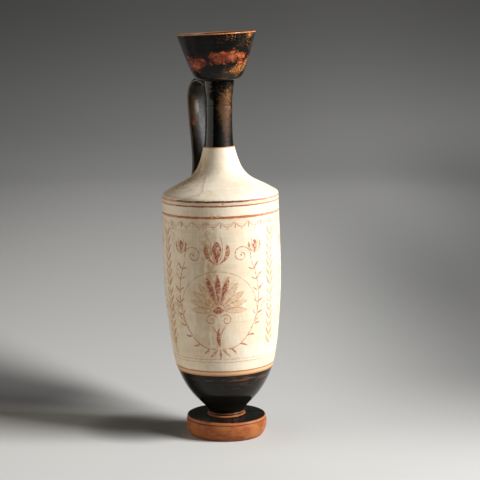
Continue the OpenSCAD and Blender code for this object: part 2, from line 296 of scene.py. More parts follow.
def body_fields(at):
    away = np.minimum(*[from_path(at, path) for path in CRACKS])
    from_faded = turn_from(at.angle, FADED_DEGREES)
    return {
        # stains, and painted shade
        "stain": patches(at, STAINS_AND_SHADE),
        "wash": patches(at, WASHES),
        "redder": patches(at, REDDER),
        "chip": patches(at, CHIPS),
        # warm: painted shade, in a warm brown
        "warm": patches(at, PAINTED_WARM_SHADE),
        "crack": ditch(away, 0.7),
        "crack_side": ditch(away, 3.2),
        "faded": 0.5 + 0.5 * np.tanh(np.degrees(from_faded) / FADED_SOFT)
                 * (np.abs(from_faded) < 1.6),
    }


# Solids of revolution from an outline that runs up the outside and down the inside
def mesh_object(name, points, faces, fields, matrix):
    data = bpy.data.meshes.new(name)
    data.from_pydata(points.tolist(), [], faces)
    for key, values in fields.items():
        layer = data.attributes.new(key, "FLOAT", "POINT")
        layer.data.foreach_set("value", np.asarray(values, np.float32).ravel())
    data.shade_smooth()
    data.set_sharp_from_angle(angle=math.radians(50))
    data.update()
    item = bpy.data.objects.new(name, data)
    item.matrix_world = matrix
    bpy.context.collection.objects.link(item)
    return item


def ring_faces(rows, columns, closed):
    i = np.arange(rows if closed else rows - 1)[:, None]
    j = np.arange(columns)[None, :]
    i2, j2 = (i + 1) % rows, (j + 1) % columns
    quads = np.stack([i * columns + j, i * columns + j2, i2 * columns + j2, i2 * columns + j], -1)
    return quads.reshape(-1, 4).tolist()


def dress(item, finish, node=None):
    """Gives a piece its finish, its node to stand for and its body."""
    item.data.materials.append(finish)
    if node:
        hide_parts(node)
    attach(item, "root")


def turned(node, finish, outline, columns, matrix, relief, fields, outside=None, seat=None):
    """Adds a node's piece: an outline turned about the axis. An open outline ends on the axis."""
    closed = outline[0, 0] > 1e-6
    rows = outline if closed else outline[1:-1]
    if closed:
        before, after = np.roll(rows, 1, 0), np.roll(rows, -1, 0)
    else:
        before, after = outline[:-2], outline[2:]
    run = unit(after - before)
    angle = (np.arange(columns) * 2 * np.pi / columns)[None, :]
    at = Place(angle, rows[:, :1], rows[:, 1:])
    shift = relief(at) * (1 if outside is None else outside(rows)[:, None])
    r = at.radius + shift * run[:, 1:]
    z = at.height - shift * run[:, :1]
    if seat:
        z = seat(r, angle, z)
    world = angle + FRONT
    points = np.stack([r * np.cos(world), r * np.sin(world), z], -1).reshape(-1, 3) * MM
    faces = ring_faces(len(rows), columns, closed)
    marks = {key: np.broadcast_to(value, r.shape).ravel() for key, value in fields(at).items()}
    if not closed:
        first, last = len(points), len(points) + 1
        points = np.vstack([points, [[0, 0, z * MM] for z in (outline[0, 1], outline[-1, 1])]])
        top = (len(rows) - 1) * columns
        faces += [[first, (j + 1) % columns, j] for j in range(columns)]
        faces += [[last, top + j, top + (j + 1) % columns] for j in range(columns)]
        marks = {key: np.append(value, [0, 0]) for key, value in marks.items()}
    item = mesh_object(node + "_shown", points, faces, marks, matrix)
    dress(item, finish, node)


def outer_side(outline, slack=0.3):
    """A mask for the points of a closed outline that lie on its outer side."""
    def outside(rows):
        return (rows[:, 0] > radius_at(outline, rows[:, 1]) - slack) * 1.0
    return outside


# Materials are built from nodes, in mm over each piece's own coordinates
class Nodes:
    def __init__(self, name):
        self.material = bpy.data.materials.new(name)
        self.material.use_nodes = True
        self.tree = self.material.node_tree
        self.tree.nodes.clear()
        self.place = self.scaled(self.add("TexCoord").outputs["Object"], 1 / MM)
        self.colour = None

    def add(self, kind, values=None, **settings):
        node = self.tree.nodes.new("ShaderNode" + kind)
        for key, value in settings.items():
            setattr(node, key, value)
        for key, value in (values or {}).items():
            if isinstance(value, bpy.types.NodeSocket):
                self.tree.links.new(value, node.inputs[key])
            else:
                node.inputs[key].default_value = value
        return node

    def scaled(self, vector, factor):
        return self.add("VectorMath", {0: vector, "Scale": factor}, operation="SCALE").outputs[0]

    def field(self, name):
        return self.add("Attribute", attribute_name=name).outputs["Fac"]

    def height(self):
        return self.add("SeparateXYZ", {0: self.place}).outputs["Z"]

    def along(self, way):
        """Distance in metres along a direction."""
        metres = self.scaled(self.place, MM)
        return self.add("VectorMath", {0: metres, 1: tuple(way)},
                        operation="DOT_PRODUCT").outputs["Value"]

    def noise(self, size, detail=3.0, stretch=(1, 1, 1), roughness=0.55):
        """Noise from 0 to 1 whose spots are about size mm, drawn out by stretch."""
        factors = tuple(1 / (size * s) for s in stretch)
        vector = self.add("VectorMath", {0: self.place, 1: factors}, operation="MULTIPLY")
        return self.add("TexNoise", {"Vector": vector.outputs[0], "Scale": 1.0, "Detail": detail,
                                     "Roughness": roughness}).outputs["Fac"]

    def ramp(self, value, low, high, start=0.0, end=1.0):
        return self.add("MapRange", {"Value": value, "From Min": low, "From Max": high,
                                     "To Min": start, "To Max": end},
                        interpolation_type="SMOOTHSTEP", clamp=True).outputs["Result"]

    def patchy(self, size, low, high, start=0.0, end=1.0, detail=3.0, stretch=(1, 1, 1)):
        """Noise with its range from low to high spread from start to end."""
        return self.ramp(self.noise(size, detail, stretch), low, high, start, end)

    def math(self, operation, a, *others):
        for b in others:
            a = self.add("Math", {0: a, 1: b}, operation=operation).outputs[0]
        return a

    def plus(self, *values):
        return self.math("ADD", *values)

    def times(self, *values):
        return self.math("MULTIPLY", *values)

    def larger(self, *values):
        return self.math("MAXIMUM", *values)

    def less(self, mask, amount=1.0):
        """1 where the mask is 0, and less by the amount where it is 1."""
        return self.math("SUBTRACT", 1.0, self.times(mask, amount))

    def mix(self, share, a, b):
        a, b = (v if isinstance(v, bpy.types.NodeSocket) else (*v, 1.0) for v in (a, b))
        return self.add("Mix", {0: share, 6: a, 7: b}, data_type="RGBA").outputs[2]

    def lay(self, share, paint):
        """Lays a share of a paint over the finish's colour so far."""
        self.colour = self.mix(share, self.colour, paint)

    def band(self, value, low, high, soft):
        """1 between low and high, 0 outside, with soft edges."""
        return self.times(self.ramp(value, low - soft, low + soft),
                          self.ramp(value, high + soft, high - soft))

    def surface(self, roughness, specular, height=None, depth=0.1):
        values = {"Base Color": self.colour, "Roughness": roughness, "Specular IOR Level": specular}
        if height is not None:
            bump = self.add("Bump", {"Height": height, "Distance": depth * MM, "Strength": 1.0})
            values["Normal"] = bump.outputs[0]
        shader = self.add("BsdfPrincipled", values)
        out = self.add("OutputMaterial")
        self.tree.links.new(shader.outputs[0], out.inputs[0])
        return self.material


# White slip, with the bands and the ornament painted on it
IVORY, CHALK, CREAM = (0.80, 0.70, 0.54), (0.88, 0.82, 0.70), (0.80, 0.60, 0.38)
# The brown of the painted warm shade.
SHADE_BUFF = (0.58, 0.40, 0.235)
BRUSHED, DRAWN, WIPED = (0.66, 0.52, 0.34), (0.92, 0.90, 0.82), (0.56, 0.42, 0.27)
BLUISH = (0.52, 0.55, 0.52)
# The first is the brown of stains and of painted shade.
STAIN_AND_SHADE_BROWN, OCHRE, FLECK = (0.44, 0.26, 0.105), (0.62, 0.38, 0.17), (0.28, 0.15, 0.07)
CRACK_SIDE, CRACK, CHIPPED = (0.56, 0.38, 0.22), (0.40, 0.23, 0.11), (0.58, 0.36, 0.22)
RED_LINE, DARK_LINE, ROSE = (0.42, 0.125, 0.045), (0.11, 0.035, 0.018), (0.66, 0.34, 0.17)
GOLD, GOLD_EDGE, SEAM_EDGE = (0.72, 0.46, 0.245), (0.42, 0.15, 0.05), (0.46, 0.18, 0.065)
PAINT, DARK_PAINT, PAINT_WASH = (0.48, 0.155, 0.055), (0.32, 0.068, 0.030), (0.60, 0.33, 0.12)
BRUSH_MARKS = {"size": 1.6, "detail": 3, "stretch": (22, 22, 1)}


def slip(n):
    """Colours the white slip, with painted shade on the side turned from the key light, and says
    where it is chipped.
    """
    n.colour = n.mix(n.patchy(26, 0.38, 0.62), IVORY, CHALK)
    n.lay(n.ramp(n.height(), 298.0, 274.0, 0.16, 0.42), CREAM)
    # Painted shade: a warm brown over the side turned from the key light.
    warm_shade = n.times(n.field("warm"), n.patchy(7, 0.32, 0.66, 0.25, 1.0, 4, (1, 1, 2.5)))
    n.lay(n.ramp(warm_shade, 0.0, 1.0, 0.0, 0.55), SHADE_BUFF)
    n.lay(n.ramp(n.noise(**BRUSH_MARKS), 0.50, 0.74, 0.0, 0.34), BRUSHED)
    n.lay(n.patchy(2.6, 0.52, 0.72, 0.0, 0.30, 4, (1, 1, 7)), DRAWN)
    n.lay(n.patchy(5.5, 0.54, 0.78, 0.0, 0.35, 3, (9, 9, 1)), WIPED)
    n.lay(n.patchy(15, 0.56, 0.72, 0.0, 0.30, 2, (1, 1, 2.2)), BLUISH)
    # Stains, and painted shade on the side turned from the key light.
    stained_and_shaded = n.times(n.field("stain"), n.patchy(4.2, 0.30, 0.68, 0.25, 1.0, 4, (1, 1, 1.5)))
    n.lay(n.ramp(stained_and_shaded, 0.10, 1.0, 0.0, 0.75), STAIN_AND_SHADE_BROWN)
    washed = n.times(n.field("wash"), n.patchy(3.2, 0.35, 0.65, 0.3, 1.0, 4, (2, 2, 1)))
    n.lay(n.ramp(washed, 0.15, 0.9, 0.0, 0.62), OCHRE)
    reddened = n.times(n.field("redder"), n.patchy(1.7, 0.42, 0.62, 0.0, 1.0, 4, (1, 1, 1.6)))
    n.lay(n.ramp(reddened, 0.1, 0.8, 0.0, 0.6), RED_LINE)
    n.lay(n.patchy(1.1, 0.74, 0.79, 0.0, 0.6, 2, (1, 1, 1.3)), FLECK)
    n.lay(n.times(n.field("crack_side"), 0.30), CRACK_SIDE)
    n.lay(n.ramp(n.field("crack"), 0.45, 1.0, 0.0, 0.30), CRACK)
    chipped = n.ramp(n.plus(n.field("chip"), n.times(n.noise(1.2, 3), 0.4)), 0.52, 0.66)
    n.lay(chipped, CHIPPED)
    return chipped


def bands(n, chipped):
    """Lays on the bands painted round the body and shoulder, in places worn thin."""
    z = n.plus(n.height(), n.patchy(7, 0.2, 0.8, -0.28, 0.28))
    faded = n.field("faded")
    worn = n.times(n.patchy(1.5, 0.26, 0.48, 0.5, 1.0, 4, (5, 5, 1)),
                   n.ramp(faded, 0, 1, 1, 0.62), n.less(chipped))
    dark = n.mix(n.ramp(faded, 0.0, 0.35), DARK_LINE, RED_LINE)
    for low, high, soft, share, paint in (
            (60, 88.4, 0.2, 1.0, GOLD), (87.9, 89.6, 0.2, 0.9, GOLD_EDGE),
            (82.0, 84.7, 0.2, 0.85, SEAM_EDGE), (285.2, 289.9, 0.3, n.times(worn, 0.45), ROSE),
            (270.5, 273.4, 0.2, worn, RED_LINE),
            (284.0, 285.7, 0.18, worn, n.mix(0.5, dark, RED_LINE)),
            (289.0, 291.2, 0.18, worn, dark), (346.7, 349, 0.15, 0.8, GOLD_EDGE)):
        n.lay(n.times(n.band(z, low, high, soft), share), paint)


def white_ground():
    n = Nodes("white_ground_finish")
    bands(n, slip(n))
    height = n.plus(n.times(n.noise(**BRUSH_MARKS), 0.5), n.times(n.noise(0.8, 3), 0.5))
    return n.surface(n.patchy(9, 0.3, 0.7, 0.42, 0.60), 0.4, height, 0.10)


def painted():
    """Thinned red-brown paint that has partly come off the slip."""
    n = Nodes("faded_paint")
    chipped = slip(n)
    paint = n.mix(n.field("tone"), PAINT, DARK_PAINT)
    paint = n.mix(n.ramp(n.field("ochre"), 0.3, 0.7), paint, PAINT_WASH)
    worn = n.ramp(n.noise(2.6, 5, (1.2, 1.2, 1), 0.65), 0.32, 0.58)
    n.lay(n.times(n.ramp(worn, 0.0, 1.0, 0.25, 1.0), n.field("strength"),
                  n.ramp(n.field("faded"), 0.1, 1.0, 1.0, 0.6), n.less(chipped)), paint)
    return n.surface(n.patchy(3, 0.3, 0.7, 0.50, 0.66), 0.35, n.noise(0.7, 3), 0.06)


# Black gloss
BLACK, GREEN_BLACK = (0.0085, 0.0078, 0.0058), (0.0075, 0.0080, 0.0062)
BROWN_BLACK, THICK_BLACK = (0.020, 0.013, 0.008), (0.0012, 0.0014, 0.0009)
# The worn brown also colours a painted highlight low on the neck's right.
WEAR_AND_HIGHLIGHT_BROWN, STREAK_BROWN = (0.080, 0.041, 0.019), (0.15, 0.055, 0.030)
DARK_RUST, RUST = (0.15, 0.024, 0.012), (0.48, 0.115, 0.038)
BARE_CLAY, PALE_CLAY = (0.33, 0.10, 0.026), (0.50, 0.21, 0.058)
# The scrape grey also colours a painted highlight on the handle.
SCRAPE_AND_HIGHLIGHT_GREY = (0.13, 0.12, 0.10)
RIM_CLAY, PALE_RIM_CLAY = (0.46, 0.17, 0.07), (0.58, 0.26, 0.11)


def black_gloss():
    """Fired black gloss: greenish where thick, brown where worn, orange where misfired, with
    painted highlights: grey on the handle and brown low on the neck.
    """
    n = Nodes("black_gloss_finish")
    tone = n.patchy(14, 0.35, 0.68)
    n.colour = n.mix(tone, BLACK, GREEN_BLACK)
    streak = n.noise(1.3, 4, (14, 14, 1))
    n.lay(n.ramp(streak, 0.52, 0.76, 0.0, 0.4), BROWN_BLACK)
    n.lay(n.times(n.field("thick"), 0.8), THICK_BLACK)
    fine = n.noise(1.2, 4, (1.2, 1.2, 1), 0.7)
    coarse = n.noise(6.0, 5, (1.7, 1.7, 1), 0.62)
    edge = n.plus(n.times(fine, 1.5), n.times(coarse, 2.2), -1.85)
    browned = n.plus(n.field("worn"), n.times(edge, 0.8))
    # Brown wear, and on the neck a painted highlight.
    n.lay(n.ramp(browned, 0.05, 1.1, 0.0, 0.9), WEAR_AND_HIGHLIGHT_BROWN)
    fired = n.plus(n.field("misfire"), edge)
    rust = n.mix(n.patchy(5, 0.40, 0.68, 0.0, 1.0, 4, (1.5, 1.5, 1)), DARK_RUST, RUST)
    n.lay(n.ramp(fired, 0.38, 0.62, 0.0, 0.92), rust)
    shown = n.ramp(n.plus(n.field("bare"), n.times(fine, 3.2), n.times(coarse, 0.8)), 2.52, 2.74)
    n.lay(n.times(shown, 0.85), n.mix(n.patchy(3, 0.38, 0.62, detail=4), BARE_CLAY, PALE_CLAY))
    streaked = n.times(n.field("streak"), n.patchy(1.7, 0.47, 0.66, stretch=(12, 12, 1)))
    n.lay(n.ramp(streaked, 0.15, 0.9, 0.0, 0.75), STREAK_BROWN)
    # Grey scrapes, and the handle's painted highlight.
    n.lay(n.ramp(n.plus(n.field("scraped"), n.times(fine, 0.8)), 0.95, 1.25), SCRAPE_AND_HIGHLIGHT_GREY)
    n.lay(n.ramp(n.field("reserved"), 0.3, 0.6), n.mix(tone, RIM_CLAY, PALE_RIM_CLAY))
    dull = n.larger(n.ramp(browned, 0.2, 1.1, 0.0, 0.35), n.ramp(fired, 0.38, 0.62), shown,
                    n.field("matt"))
    roughness = n.plus(n.ramp(dull, 0.0, 1.0, 0.07, 0.43), n.patchy(3.4, 0.35, 0.7, 0.0, 0.05, 4))
    relief = n.plus(n.times(streak, 0.35), n.times(fine, 0.20), n.times(shown, -0.4))
    return n.surface(roughness, 0.21, relief, 0.05)


# The foot's clay
FOOT_CLAY, PALE_FOOT_CLAY = (0.25, 0.058, 0.015), (0.37, 0.125, 0.034)
FOOT_RED, FOOT_STREAK, PIT = (0.16, 0.030, 0.012), (0.42, 0.17, 0.07), (0.10, 0.035, 0.02)
# Lighter on ridges, a painted highlight; darker in grooves, painted shade; and darker low down.
GROOVE_SHADE, RIDGE_HIGHLIGHT, DARK_LOW_COLOUR = (0.13, 0.035, 0.018), (0.44, 0.17, 0.07), (0.07, 0.045, 0.03)
FOOT_BLACK, WORN_FOOT_BLACK = (0.0060, 0.0064, 0.0062), (0.014, 0.013, 0.011)


def foot_clay():
    """Orange clay, burnished, with the black gloss on the foot's top."""
    n = Nodes("foot_clay_finish")
    cloud = n.patchy(13, 0.36, 0.64, 0.0, 1.0, 4, (1.4, 1.4, 1))
    n.colour = n.mix(cloud, FOOT_CLAY, PALE_FOOT_CLAY)
    n.lay(n.patchy(6, 0.50, 0.72, 0.0, 0.6, 5, (1.8, 1.8, 1)), FOOT_RED)
    n.lay(n.patchy(1.5, 0.52, 0.75, 0.0, 0.35, 4, (9, 9, 1)), FOOT_STREAK)
    pits = n.patchy(1.0, 0.70, 0.77)
    n.lay(n.times(pits, 0.75), PIT)
    # Painted shade: darker in the grooves.
    n.lay(n.times(n.field("groove"), 0.85), GROOVE_SHADE)
    # Painted highlight: lighter on the ridges.
    n.lay(n.times(n.field("ridge"), 0.7), RIDGE_HIGHLIGHT)
    # Darker at the foot's lowest edge, in its hollow and at the fillet's bottom.
    n.lay(n.times(n.field("grime"), n.patchy(4, 0.35, 0.6, 0.4, 1.0, 4)), DARK_LOW_COLOUR)
    gloss = n.mix(n.patchy(10, 0.35, 0.68, detail=4), FOOT_BLACK, WORN_FOOT_BLACK)
    edge = n.plus(n.field("glossed"), n.patchy(2.4, 0.3, 0.7, -0.18, 0.18, 4))
    glossed = n.ramp(edge, 0.44, 0.54)
    n.lay(glossed, gloss)
    roughness = n.plus(n.ramp(glossed, 0, 1, 0.42, 0.20), n.patchy(4, 0.3, 0.7, -0.04, 0.06, 4))
    height = n.plus(n.times(n.noise(1.2, 4, (6, 6, 1)), 0.6), n.times(pits, -0.7))
    return n.surface(roughness, 0.2, height, 0.09)


# Foot
FOOT_NICKS = [
    (8, 23.2, 1.6, 0.8, 1), (-41, 23.0, 1.2, 0.7, 0.8), (33, 14, 1.4, 0.8, 0.5),
    (-20, 18.2, 1.8, 0.7, 0.5), (100, 22.8, 2.5, 0.9, 1), (-150, 2.0, 3, 1.4, 1),
    (62, 1.2, 2.2, 0.9, 1), (190, 22.9, 2.0, 0.9, 1)]


def foot_side(z, inward=0.0):
    """A point of the foot's upper side, which narrows upward."""
    (low_r, low_z), (high_r, high_z) = FOOT_BELLY, FOOT_EDGE
    return (low_r + (high_r - low_r) * (z - low_z) / (high_z - low_z) - inward, z)


def make_foot(finish):
    groove = (foot_side(19.4), foot_side(FOOT_GROOVE_Z, 0.7), foot_side(20.8))
    flat_r, top_r = 17, 16
    outline = joined(
        straight(3, (0, FOOT_HOLLOW), (flat_r, FOOT_HOLLOW)),
        bowed(1.6, (flat_r, FOOT_HOLLOW), (8.5, 0), (REST_IN_R, 0), (0, -4.25)),
        straight(2, (REST_IN_R, 0), (REST_OUT_R, 0)),
        bowed(0.4, (REST_OUT_R, 0), (1.2, 0), FOOT_BEND, (0.6, 0.75)),
        bowed(0.8, FOOT_BEND, (2.249, 2.811), FOOT_BELLY, (0, 15.5 / 3)),
        straight(0.8, FOOT_BELLY, foot_side(19.0)),
        straight(0.4, foot_side(19.0), groove[0]),
        straight(0.33, *groove),
        straight(0.4, groove[-1], FOOT_EDGE),
        bowed(0.35, FOOT_EDGE, (0, 0.6), FOOT_CROWN, (-0.6, 0)),
        straight(1.1, FOOT_CROWN, (top_r, FOOT_H)),
        straight(4, (top_r, FOOT_H), (0, FOOT_H)))

    def relief(at):
        return (waves(at, (0.05, 3, 1.9, 11), (0.10, 9, 8.0, 12))
                + 0.04 * rough(at.angle, at.radius, 60, 3.0, 13) - 0.5 * patches(at, FOOT_NICKS))

    def outside(rows):
        r, z = rows.T
        return ((r > 42.5) | ((z > 23) & (r > 24))) * 1.0

    def fields(at):
        side = at.radius > 45
        crown = 1 / (1 + np.exp((at.radius - 46.2) / 0.25))
        return {"glossed": crown * (at.height > 23) * (at.radius < 47),
                # groove: painted shade in the groove of the side
                "groove": ditch(at.height - FOOT_GROOVE_Z, 0.65) * side,
                # ridge: a painted highlight along the top edge of the side
                "ridge": ditch(at.height - 21.8, 0.8) * side,
                # darker at the side's lowest edge and inside the hollow
                "grime": np.exp(-at.height / 2.2) * (at.radius > 40)
                         + 0.7 * (at.radius < REST_IN_R) * (at.height < 9)}

    turned("foot", finish, outline, 420, FOOT_FRAME, relief, fields, outside)


def plane_rise(lean, toward, r, angle):
    """How far a plane that leans so many degrees one way rises, over a place on the level."""
    return math.tan(math.radians(lean)) * r * np.cos(angle + FRONT - toward)


def on_foot(r, angle, z):
    """Keeps what is drawn in the leaning frame on the foot's level top."""
    return np.maximum(z, FOOT_H + plane_rise(BODY_LEAN, LEAN_TOWARD, r, angle))


# Fillet: two beads with a groove between them
def make_fillet(finish):
    inner_r, base_r = 17.4, 22.9
    low, waist, high, top = (23, 24.25), (20.4, 26), (21.5, 27.75), (LOWER_R, LOWER_Z)
    outline = joined(
        straight(1.2, (inner_r, FOOT_H), (base_r, FOOT_H)),
        straight(0.3, (base_r, FOOT_H), low),
        bowed(0.2, low, (0, 0.75), waist, (0, 1.5)),
        bowed(0.2, waist, (0, 0.75), high, (0, 0.5)),
        bowed(0.2, high, (0, 0.375), top, (-0.375, 0)),
        straight(1.2, top, (inner_r, LOWER_Z)),
        straight(2.5, (inner_r, LOWER_Z), (inner_r, FOOT_H)))[:-1]

    def relief(at):
        return waves(at, (0.08, 13, 2.0, 21)) * (at.radius > 18)

    def fields(at):
        z = at.height
        return {"glossed": 1 - ditch(z - 27.6, 0.6) - ditch(z - 24.8, 0.75),
                # groove: painted shade between the beads
                "groove": 0.6 * ditch(z - 26.0, 1.0),
                # ridge: painted highlights on the two beads
                "ridge": 0.3 * (ditch(z - 24.6, 0.8) + ditch(z - 27.5, 0.7)),
                # darker at the fillet's bottom, where it meets the foot
                "grime": 0.3 * ditch(z - 23.6, 0.4)}

    turned("foot_fillet", finish, outline, 300, BODY_FRAME, relief,
           fields, seat=on_foot)


# Lower body
LOWER_WORN = [(20, 74, 60, 12, 0.45), (150, 60, 20, 10, 0.4)]
LOWER_BARED = [(0, 83, 8, 0.8, 0.5)]
LOWER_STREAKS = [
    (33, 76, 26, 4.5, 1.0), (62, 72, 16, 6, 0.7), (4, 78, 24, 4, 0.7), (24, 68, 26, 7, 0.7),
    (-34, 77, 20, 4, 0.6), (170, 74, 30, 4, 0.9), (-100, 77, 20, 3, 0.8)]


def make_lower_body(finish):
    floor, rim = (6, 37.5), (SEAM_R - WALL_T, WALL_Z)
    inside = curve(floor, (12.5, 0), rim, (11.39, 33.5), 30)
    outline = joined(
        line((0, FOOT_H), (STEM_R, FOOT_H), (STEM_R, LOWER_Z)),
        straight(1.2, (STEM_R, LOWER_Z), (LOWER_R, LOWER_Z)),
        spaced(LOWER_OUT, 0.9),
        straight(1.5, (SEAM_R, WALL_Z), rim),
        spaced(inside[::-1], 6), line(floor, (0, floor[1])))

    def relief(at):
        ends = np.clip((at.height - LOWER_Z) / 2, 0, 1) * np.clip((WALL_Z - at.height) / 3, 0, 1)
        return ends * waves(at, (0.05, 3, 2.2, 31), (0.10, 6, 20.0, 32), (0.02, 170, 2.0, 33))

    def fields(at):
        return {"worn": patches(at, LOWER_WORN) - 0.2, "misfire": -2,
                "bare": patches(at, LOWER_BARED) - 1.0, "streak": patches(at, LOWER_STREAKS),
                "scraped": -1, "matt": 0.22}

    turned("lower_body", finish, outline, 420, BODY_FRAME, relief, fields,
           outer_side(LOWER_OUT), on_foot)


# Body wall and shoulder
def make_wall(finish):
    outline = joined(
        spaced(WALL_OUT, 1.35),
        straight(1.5, (SHOULDER_R, SHOULDER_Z), (SHOULDER_R - WALL_T, SHOULDER_Z)),
        spaced(WALL_OUT[::-1] - (WALL_T, 0), 9),
        straight(1.5, (SEAM_R - WALL_T, WALL_Z), (SEAM_R, WALL_Z)))[:-1]
    turned("body_wall", finish, outline, 540, BODY_FRAME, body_relief,
           body_fields, outer_side(WALL_OUT))


def make_shoulder(finish):
    run = unit(np.gradient(SHOULDER_SLOPE, axis=0))
    inner = SHOULDER_SLOPE + SHOULDER_T * np.stack([-run[:, 1], run[:, 0]], 1)
    inner = inner[(inner[:, 1] > EDGE_Z) & (inner[:, 1] < NECK_Z - 0.5)]
    throat, rim_r = (13.3, NECK_Z), SHOULDER_R - WALL_T
    outline = joined(
        spaced(SHOULDER_OUT, 0.95), straight(1.5, (SHOULDER_TOP_R, NECK_Z), throat),
        spaced(np.vstack([throat, inner[::-1], (rim_r, EDGE_Z), (rim_r, SHOULDER_Z)]), 6),
        straight(1.5, (rim_r, SHOULDER_Z), (SHOULDER_R, SHOULDER_Z)))[:-1]

    def outside(rows):
        below_neck = np.clip((NECK_Z - 0.2 - rows[:, 1]) / 1.5, 0, 1)
        return outer_side(SHOULDER_OUT)(rows) * below_neck

    turned("shoulder", finish, outline, 640, BODY_FRAME, body_relief,
           body_fields, outside)


# Neck
# Worn patches of the neck; the low one at 36 degrees, 17 mm up, is a painted highlight of the key
# light.
NECK_WEAR_AND_HIGHLIGHT = [
    (40, 40, 11, 17, 0.95), (30, 60, 10, 12, 0.75), (58, 62, 7, 12, 0.6), (8, 47, 8, 6, 0.55),
    (22, 36, 8, 14, 0.5), (36, 17, 9, 11, 0.85), (150, 30, 12, 20, 0.6)]
NECK_MISFIRED = [(40, 46, 9, 6, 0.42), (50, 60, 5, 12, 0.38)]
NECK_BARED = [
    (44, 56, 5, 18, 0.36), (24, 64, 9, 10, 0.30), (42, 38, 9, 10, 0.26), (34, 20, 8, 9, 0.18)]
NECK_SCRAPED = [(33, 73.5, 6, 1.4, 0.6)]
NECK_MATT = [(34, 6, 12, 14, 1.1), (34, 34, 12, 22, 1.1), (36, 66, 9, 12, 0.6)]


def neck_ends(r, angle, z):
    """Moves the neck's two ends to the leaning planes that it meets."""
    low = -plane_rise(BODY_LEAN, LEAN_TOWARD, r, angle)
    high = NECK_H - plane_rise(MOUTH_TILT, MOUTH_TOWARD, r, angle)
    share = z / NECK_H
    return low * (1 - share) + high * share


def make_neck(finish):
    outline = joined(
        spaced(NECK_OUT, 0.8), straight(2, (NECK_HIGH_R, NECK_H), (BORE_R, NECK_H)),
        straight(5, (BORE_R, NECK_H), (BORE_R, 0)),
        straight(2, (BORE_R, 0), (NECK_LOW_R, 0)))[:-1]

    def relief(at):
        return (waves(at, (0.05, 3, 2.4, 41), (0.10, 5, 22.0, 42), (0.025, 90, 1.6, 43))
                - 0.28 * ditch(at.height - 47.8, 0.6) - 0.12 * ditch(at.height - 1.2, 0.8))

    def outside(rows):
        return (rows[:, 0] > 12) * 1.0

    def fields(at):
        return {"worn": patches(at, NECK_WEAR_AND_HIGHLIGHT) - 0.30, "misfire": patches(at, NECK_MISFIRED) - 0.32,
                "bare": patches(at, NECK_BARED), "streak": 0.25 * ditch(at.height - 46, 14),
                "thick": 1, "scraped": patches(at, NECK_SCRAPED) - 0.25,
                "reserved": at.height < 0.3, "matt": 0.02 + patches(at, NECK_MATT)}

    turned("neck", finish, outline, 300, NECK_FRAME, relief, fields, outside,
           neck_ends)


# Mouth
MOUTH_WORN = [
    (30, 10, 20, 9, 0.8), (45, 45, 16, 8, 0.55), (0, 3, 12, 3, 0.4), (-35, 18, 10, 10, 0.5),
    (75, 40, 8, 14, 0.6)]
MOUTH_MISFIRED = [
    (-62, 27, 9, 11, 0.55), (-48, 20, 13, 12, 0.85), (-25, 23, 12, 9, 0.72),
    (-6, 28, 13, 7.5, 0.80), (14, 27, 12, 8.5, 0.85), (33, 29, 12, 10, 0.80),
    (52, 27, 9, 10, 0.75), (72, 22, 8, 9, 0.5), (110, 26, 18, 8, 0.7), (170, 22, 22, 9, 0.6),
    (-120, 28, 18, 7, 0.6), (-18, 26, 5, 13, -0.55), (40, 33, 4, 2.2, -0.6), (24, 22, 6, 3.5, -0.3)]
MOUTH_BARED = [
    (34, 29, 10, 6, 0.50), (50, 14, 9, 7, 0.62), (66, 19, 5, 8, 0.75), (30, 11, 12, 5, 0.50),
    (60, 42, 9, 12, 0.32), (20, 50, 16, 4, 0.42), (58, 52, 9, 3, 0.58), (-50, 20, 8, 6, 0.36),
    (160, 24, 9, 4, 0.6), (100, 20, 6, 5, 0.5)]
RIM_NICKS = [
    (52, 54.2, 2.6, 1.0, 0.6), (12, 54.8, 1.3, 0.8, 0.7), (-30, 55.2, 1.6, 0.8, 0.6),
    (140, 54.8, 3, 1.2, 1)]
SCRATCH = [(29.5, 53.0), (36, 47.5), (42, 44)]


def make_mouth(finish):
    outline = joined(
        straight(1.5, (THROAT_R, 0), (MOUTH_SEAT_R, 0)), spaced(MOUTH_OUT, 0.8),
        bowed(0.25, RIM_OUT, (0, 0.45), RIM_TOP, (-0.45, 0)),
        straight(0.6, RIM_TOP, RIM_IN),
        bowed(1.5, RIM_IN, (-4.65, -15), BOWL, (-6.9, -5.75)),
        bowed(1.5, BOWL, (-5.75, -4.83), (THROAT_R, THROAT_Z), (0, -1.75)),
        straight(1.2, (THROAT_R, THROAT_Z), (THROAT_R, 0)))[:-1]

    def relief(at):
        worn = patches(at, MOUTH_BARED) * (0.6 + rough(at.angle, at.height, 260, 1.1, 53))
        damage = (0.05 * worn + 0.6 * patches(at, RIM_NICKS)
                  + 0.25 * ditch(from_path(at, SCRATCH), 0.55))
        return waves(at, (0.05, 3, 2.4, 51), (0.12, 5, 24.0, 52)) - damage * (at.height > 1)

    def outside(rows):
        return outer_side(MOUTH_OUT, 0.5)(rows) * (rows[:, 0] > 19)

    def fields(at):
        out = (at.radius > radius_at(MOUTH_OUT, at.height) - 0.6) * 1.0
        rim = 1.0 * (at.height > 54.35) * (at.radius > 41)
        return {"worn": (patches(at, MOUTH_WORN) - 0.2) * out,
                "misfire": patches(at, MOUTH_MISFIRED) * out - 0.30,
                "bare": patches(at, MOUTH_BARED) * out, "streak": 0.2 * out, "thick": out,
                "scraped": 1.1 * ditch(from_path(at, SCRATCH), 0.4) * out - 0.35,
                "reserved": rim, "matt": 0.02 + 0.9 * (1 - out) * (1 - rim)}

    turned("mouth", finish, outline, 480, MOUTH_FRAME, relief, fields, outside)


